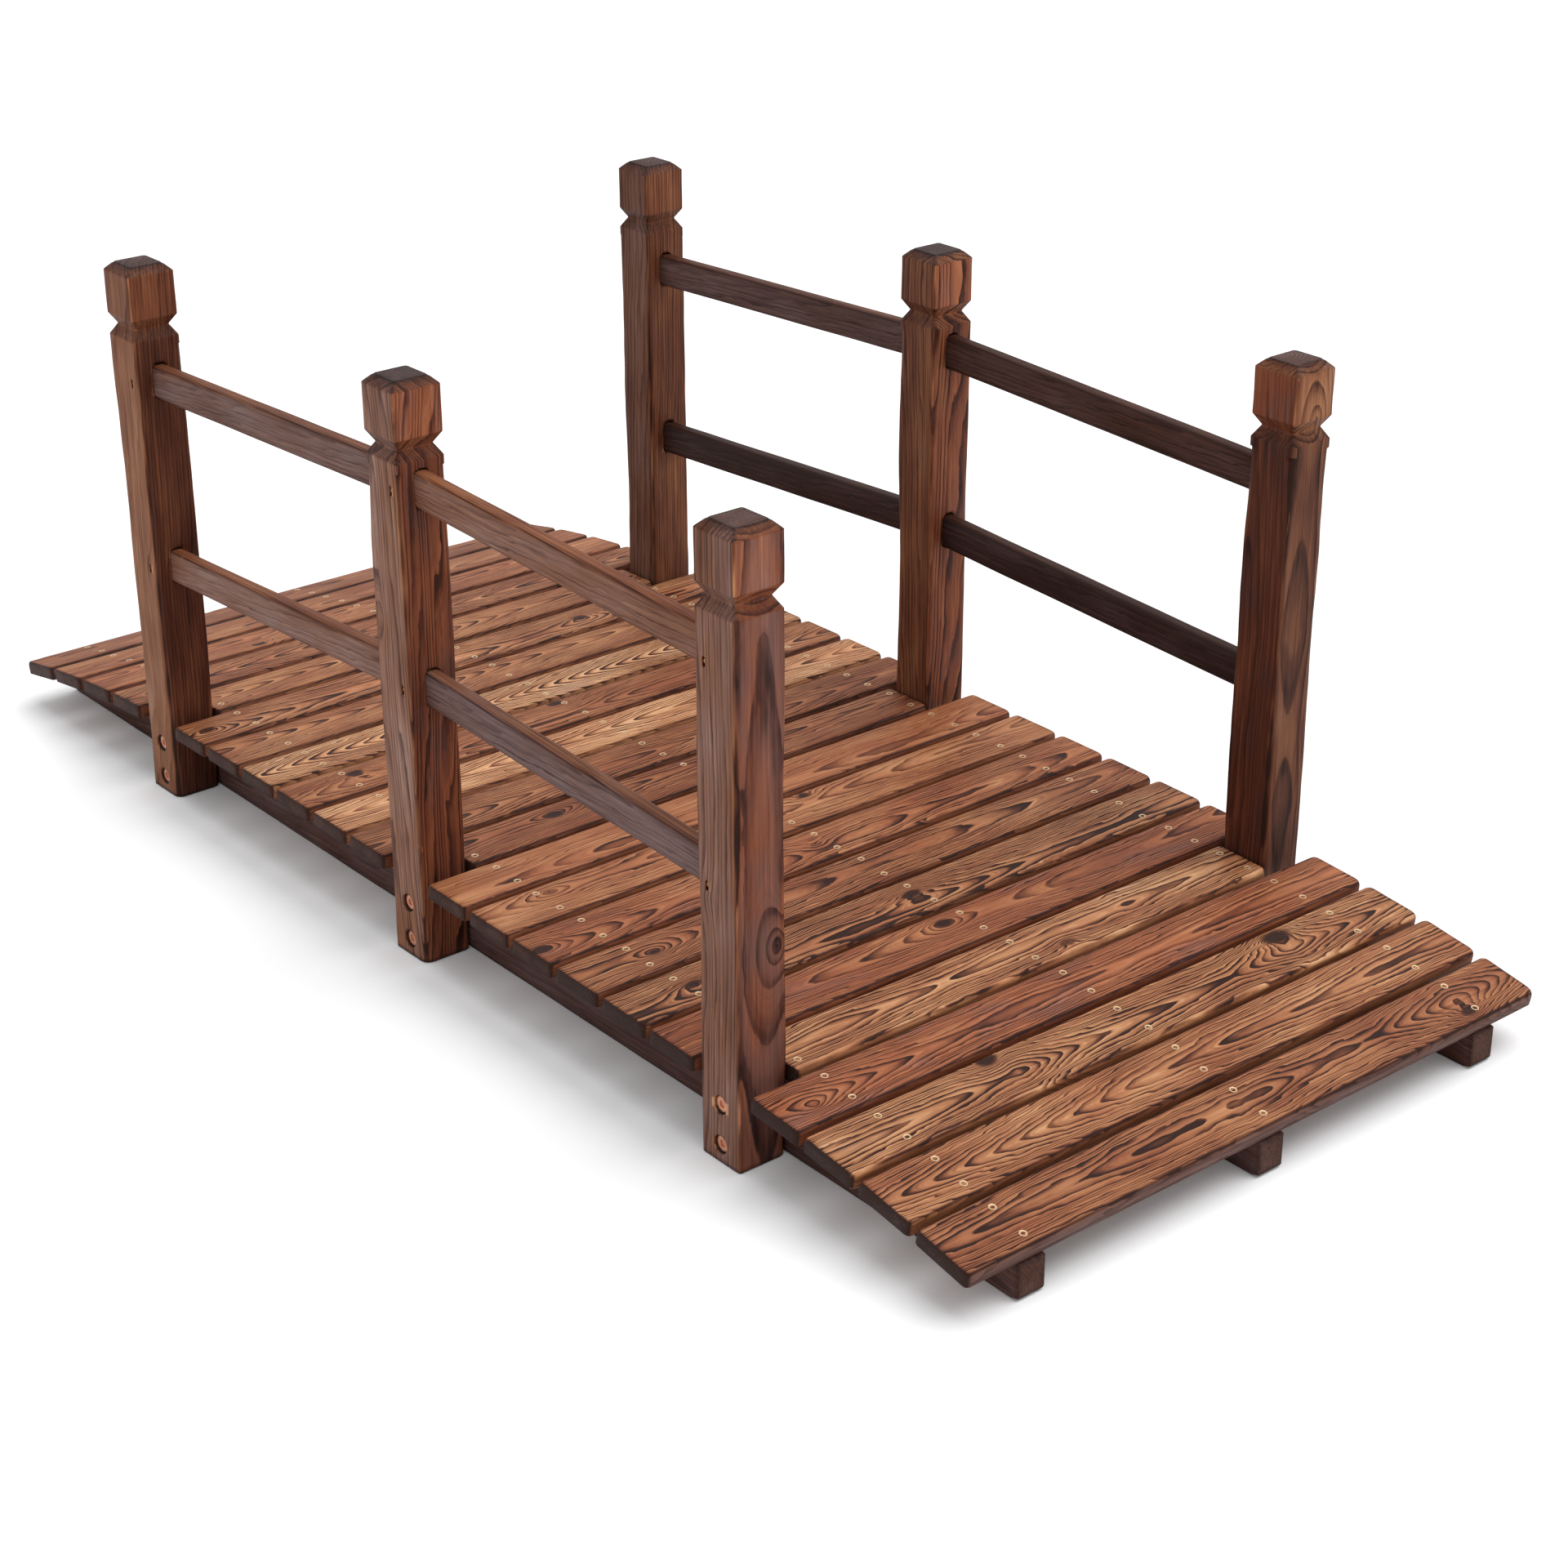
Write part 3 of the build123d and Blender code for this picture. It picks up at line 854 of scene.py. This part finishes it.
def timber_material():
    """Scorched and brushed pine: growth rings round each stick's pith, bent by knots."""
    material, tree, shader = new_material("scorched_pine")
    grain = stored(tree, "grain")
    darkness, contrast, redness = parts(stored(tree, "tone"))
    scorch, fibre, streak, patch = (cloud(grain, *kind)
                                    for kind in (SCORCH, FIBRE, STREAK, PATCH))
    vigour = clamped(cloud(grain, *VIGOUR) * VIGOUR_SWING + VIGOUR_MIDDLE)

    age, cores = ring_age(tree, grain, scorch)
    late = ramp(op("FRACT", age), *((place, grey(value)) for place, value in LATE_WOOD))
    late = late * (wobble(age, *RING_DEPTH) + RING_DARK) + wobble(age, *RING_LINES)

    to_arris, to_face = edge_distances(tree)
    # Painted shade of the rounded edges: darker within a few mm of every arris.
    near_arris = 1.0 - smooth(to_arris + scorch * ARRIS_STRAY, *ARRIS_SHADE_ZONE)
    rubbed = smooth(cloud(grain, *BARE), *BARE_RANGE) * (1.0 - smooth(to_arris, *RUBBED_ZONE))
    # Painted shade inside sockets, bores and counterbores, where a point lies away from every
    # outer face.
    socket = smooth(to_face, *RECESS_SHADE_ZONE)

    dark = darkness + contrast * late * (vigour * VIGOUR_CONTRAST + LEAST_CONTRAST)
    dark = dark + fibre * FIBRE_SHADE + streak * STREAK_SHADE + patch * PATCH_SHADE
    burnt = smooth(scorch, *BURNT_SCORCH) * smooth(late, *BURNT_LATE)
    dark = dark + contrast * burnt * SCORCH_SHADE
    # Painted shade along the arrises and inside the sockets.
    dark = dark + near_arris * ARRIS_PAINTED_SHADE + socket * RECESS_PAINTED_SHADE
    dark = clamped(dark - rubbed * contrast * RUBBED_SHADE + cores * KNOT_SHADE)

    feed(shader.inputs["Base Color"], wood_colour(dark, redness + patch * PATCH_HUE))
    roughness = fibre * FIBRE_ROUGHNESS + late * LATE_ROUGHNESS + WOOD_ROUGHNESS
    feed(shader.inputs["Roughness"], roughness)
    shader.inputs["Specular IOR Level"].default_value = WOOD_SPECULAR
    relief = late * LATE_RELIEF + fibre * FIBRE_RELIEF + streak * STREAK_RELIEF
    set_bump(shader, relief, WOOD_BUMP)
    return material


def metal_material(name, colour, dirt, roughness):
    """Worn plated metal, with patches of grime, darker in its recess."""
    material, tree, shader = new_material(name)
    place = stored(tree, "place")
    height = parts(place)[2]
    grime = cloud(place, *GRIME)
    pit = 1.0 - smooth(height + grime * GRIME_STRAY, *RECESS_ZONE)
    stain = op("MAXIMUM", pit, smooth(grime, *GRIME_RANGE) * GRIME_MOST)
    feed(shader.inputs["Base Color"], ramp(stain, (0.0, colour), (1.0, dirt)))
    feed(shader.inputs["Roughness"], stain * STAIN_ROUGHNESS + roughness)
    shader.inputs["Metallic"].default_value = METAL_SHARE
    set_bump(shader, cloud(place, *SCRATCHES) * METAL_RELIEF, METAL_BUMP)
    return material


# --------------------------------- fasteners
def turned(mesh, seat, axis, profile, sides):
    """Adds a turned head to a bmesh, and returns its points' places in mm."""
    first = axis.orthogonal().normalized()
    second = axis.cross(first)
    loops, places = [], []
    for radius, height, hexagonal in profile:
        loop = []
        for i in range(sides):
            angle = 2 * math.pi * i / sides
            reach = radius
            if hexagonal:
                reach *= math.cos(math.pi / 6) / math.cos(angle % (math.pi / 3) - math.pi / 6)
            x, y = reach * math.cos(angle), reach * math.sin(angle)
            loop.append(mesh.verts.new(seat + (first * x + second * y + axis * height) * MM))
            places.append((x, y, height))
        loops.append(loop)
    for before, after in zip(loops, loops[1:]):
        for i in range(sides):
            j = (i + 1) % sides
            mesh.faces.new((before[i], before[j], after[j], after[i]))
    mesh.faces.new(loops[0][::-1])
    mesh.faces.new(loops[-1])
    return places


def finish_heads(mesh, places, name, material):
    """Turns a bmesh of turned heads into one piece."""
    bmesh.ops.recalc_face_normals(mesh, faces=mesh.faces)
    heads = link_mesh(mesh, name)
    write(heads.data, "place", *np.array(places).T)
    heads.data.shade_smooth()
    heads.data.set_sharp_from_angle(angle=math.radians(HEAD_SHARP))
    heads.data.materials.append(material)
    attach(heads, "root")


def straight_pith(timber, along, lines, ring_width):
    """The pith's place across and up, a ring's width and the age, on a rail or stringer."""
    across, up = (place + stray * timber.wander(along, wave, channel)
                  for (place, stray, wave), channel in zip(lines, (PITH_ACROSS, PITH_UP)))
    return across, up, ring_width, BAR_GROWTH * along


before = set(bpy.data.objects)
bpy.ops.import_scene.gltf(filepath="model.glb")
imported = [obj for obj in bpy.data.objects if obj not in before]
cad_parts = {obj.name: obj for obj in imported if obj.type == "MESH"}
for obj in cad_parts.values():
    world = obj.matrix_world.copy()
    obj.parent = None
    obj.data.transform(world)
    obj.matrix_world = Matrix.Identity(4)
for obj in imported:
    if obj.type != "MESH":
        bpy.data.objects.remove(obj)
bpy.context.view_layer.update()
TIMBER = timber_material()

# ------------------------------- deck boards
boards = {}
for number, (dark, contrast, red, pith_side, pith_depth, growth) in BOARDS.items():
    board = boards[number] = read_board(number)
    skin = build_skin(board, f"board_{number:02d}", board_corner, **BOARD_SKIN)

    def board_pith(along):
        if number in BOARD_AGES:
            age = np.interp(along, *zip(*BOARD_AGES[number]))
        else:
            age = growth * along / BOARD_REACH
            age = age + BOARD_AGE_STRAY * board.wander(along, AGE_WAVE, PITH_AGE)
        top = board.sections[0][2] / MM
        stray, wave = BOARD_PITH_STRAY
        side = pith_side + stray * board.wander(along, wave, PITH_ACROSS)
        return side, top - pith_depth, BOARD_RING, age - pith_depth / BOARD_RING

    knots = [(0, *knot) for knot in BOARD_KNOTS.get(number, ())]
    # A board's sides are a shaded copy of its top: painted shade.
    side_look = (dark + BOARD_SIDE_PAINTED_SHADE, contrast * BOARD_SIDE_CONTRAST, red)
    if number in GREY_SIDED_BOARDS:
        side_look = GREY_BOARD_SIDE
    end_look = CHARRED_END if number >= CHARRED_FROM else BOARD_END
    looks = (side_look, (dark, contrast, red), end_look)
    wear = WORN_WEAR if number in WORN_BOARDS else BOARD_WEAR
    paint_grain(skin, board, board_pith, looks, wear, knots=knots)
    finish_skin(skin, board)

# ------------------------------------- posts
for seed, (place, look) in enumerate(POSTS.items()):
    end_look, side_look, head, (pith_x, pith_y, ring_width, waver) = look
    cap_look = POST_ENDS[place.split("_")[1]]
    post = read_post(f"post_{place}", POST_SEED + seed)
    skin = build_skin(post, f"newel_{place}", post_corner, **POST_SKIN)
    cut_like_solid(skin, post.solid.name)

    def post_pith(along):
        (stray_x, wave_x), (stray_y, wave_y) = POST_PITH_STRAYS
        inside = pith_x + stray_x * post.wander(along, wave_x, PITH_ACROSS)
        age = POST_GROWTH * along + POST_AGE_STRAY * post.wander(along, AGE_WAVE, PITH_AGE)
        if place in POST_AGES:
            face_depth = post.sections[0][1] / MM - inside
            age = np.interp(along, *zip(*POST_AGES[place])) - face_depth / ring_width
        sideways = pith_y + stray_y * post.wander(along, wave_y, PITH_UP)
        return inside, sideways, ring_width, age

    paint_grain(skin, post, post_pith, (end_look, side_look, cap_look), POST_WEAR, waver,
                (HEAD_LIGHT_HEIGHT, *head), POST_KNOTS.get(place, ()))
    finish_skin(skin, post)

# ------------------------------------- rails
rails = {}
for seed, (place, (darkness, redness)) in enumerate(RAILS.items()):
    rail = rails[place] = read_bar(f"rail_{place}", RAIL_STEP, RAIL_SEED + seed)
    skin = build_skin(rail, f"handrail_{place}", rail_corner, **RAIL_SKIN)

    def rail_pith(along):
        return straight_pith(rail, along, RAIL_PITH, RAIL_RING)

    # The sides' grey is a painted sheen; the top is redder.
    top_look = (darkness + RAIL_TOP_DARKER, RAIL_TOP_CONTRAST, redness + RAIL_TOP_REDDER)
    looks = ((darkness, RAIL_CONTRAST, redness), top_look, RAIL_END)
    paint_grain(skin, rail, rail_pith, looks, RAIL_WEAR)
    finish_skin(skin, rail)

# --------------------------------- stringers
for seed, side in enumerate(("left", "centre", "right")):
    beam = read_bar(f"stringer_{side}", BEAM_STEP, BEAM_SEED + seed)
    skin = build_skin(beam, f"beam_{side}", beam_corner, **BEAM_SKIN)

    def beam_pith(along):
        return straight_pith(beam, along, BEAM_PITH, BEAM_RING)

    paint_grain(skin, beam, beam_pith, (BEAM_LOOK, BEAM_LOOK, BEAM_END), BEAM_WEAR)
    finish_skin(skin, beam)

# -------------------------- screws and bolts
SCREW_METAL = metal_material("brass_screw", colour=srgb(196, 168, 132),
                             dirt=srgb(60, 38, 26), roughness=0.42)
BOLT_METAL = metal_material("copper_bolt", colour=srgb(212, 148, 118),
                            dirt=srgb(52, 26, 20), roughness=0.36)

for side in ("left", "centre", "right"):
    low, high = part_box(f"stringer_{side}")
    row, places = bmesh.new(), []
    for board in boards.values():
        top = board.sections[0][2] - SKIN_INSET - SCREW_SINK
        for hand in (-1, 1):
            across, along = (board.seeded(low.y + hand, SCREW_STRAY_WAVE, channel) * stray
                             for channel, stray in zip(SCREW_CHANNELS, SCREW_STRAY))
            seat = board.origin + board.up * top
            seat += board.across * (hand * SCREW_OFFSET + across)
            seat.y = (low.y + high.y) / 2 + along
            places += turned(row, seat, board.up, SCREW_PROFILE, SCREW_SIDES)
    finish_heads(row, places, f"deck_screws_{side}", SCREW_METAL)

for place in POSTS:
    solid = Solid(f"post_{place}")
    outward = math.copysign(1, solid.middle.y)
    pair, places = bmesh.new(), []
    for height in BOLT_HEIGHTS:
        start_y = solid.middle.y + outward * PROBE_DISTANCE
        start = (solid.middle.x + BOLT_PROBE, start_y, height)
        seat = Vector((solid.middle.x, solid.hit(start, (0, -outward, 0)).y, height))
        places += turned(pair, seat, Vector((0, outward, 0)), BOLT_PROFILE, BOLT_SIDES)
    finish_heads(pair, places, f"bolts_{place}", BOLT_METAL)

    side, station = place.split("_")
    pins, places = bmesh.new(), []
    for level in ("upper", "lower"):
        toward_bay = -1 if station == "finish" else 1
        x = solid.middle.x + toward_bay * ((solid.high.x - solid.low.x) / 2 - PIN_SETBACK)
        rail = rails[f"{level}_{side}_{'start' if station == 'start' else 'finish'}"]
        stations = [section[0].x for section in rail.sections]
        height = np.interp(x, stations, [section[0].z for section in rail.sections])
        face = solid.high.y if outward > 0 else solid.low.y
        seat = Vector((x, face - outward * PIN_RECESS, height))
        places += turned(pins, seat, Vector((0, outward, 0)), PIN_PROFILE, PIN_SIDES)
    finish_heads(pins, places, f"rail_pins_{place}", SCREW_METAL)

# -------------------------- floor and lights
sheet = bmesh.new()
corners = ((-1, -1), (1, -1), (1, 1), (-1, 1))
sheet.faces.new([sheet.verts.new((x * FLOOR_HALF, y * FLOOR_HALF, 0)) for x, y in corners])
floor = link_mesh(sheet, "floor")
paper, paper_tree, paper_shader = new_material("white_paper")
paper_shader.inputs["Base Color"].default_value = PAPER_COLOUR
paper_shader.inputs["Roughness"].default_value = 1.0
paper_shader.inputs["Specular IOR Level"].default_value = 0.0
paper_shader.inputs["Emission Color"].default_value = GLOW_COLOUR
feed(paper_shader.inputs["Emission Strength"], in_sight(paper_tree) * PAPER_GLOW)
floor.data.materials.append(paper)

world = bpy.data.worlds.new("studio")
bpy.context.scene.world = world
world.use_nodes = True
sky = world.node_tree.nodes["Background"]
sky.inputs["Color"].default_value = grey(1.0)
white = in_sight(world.node_tree)
feed(sky.inputs["Strength"], white * (1.0 - SKY_STRENGTH) + SKY_STRENGTH)

key = bpy.data.lights.new("key", "SUN")
key.energy = KEY_STRENGTH
key.angle = math.radians(KEY_SPREAD)
lamp = bpy.data.objects.new("key", key)
lamp.rotation_euler = Euler((0, math.radians(90 - KEY_ELEVATION), math.radians(KEY_HEADING)))
bpy.context.scene.collection.objects.link(lamp)

view = bpy.data.cameras.new("camera")
view.lens = LENS
view.sensor_width = SENSOR
camera = bpy.data.objects.new("camera", view)
camera.location = CAMERA_PLACE
level = Euler((math.radians(90 + CAMERA_PITCH), 0, math.radians(CAMERA_HEADING - 90)))
roll = Euler((0, 0, math.radians(-CAMERA_ROLL)))
camera.rotation_euler = (level.to_matrix() @ roll.to_matrix()).to_euler()
bpy.context.scene.collection.objects.link(camera)
bpy.context.scene.camera = camera
bpy.context.scene.view_settings.view_transform = "Standard"
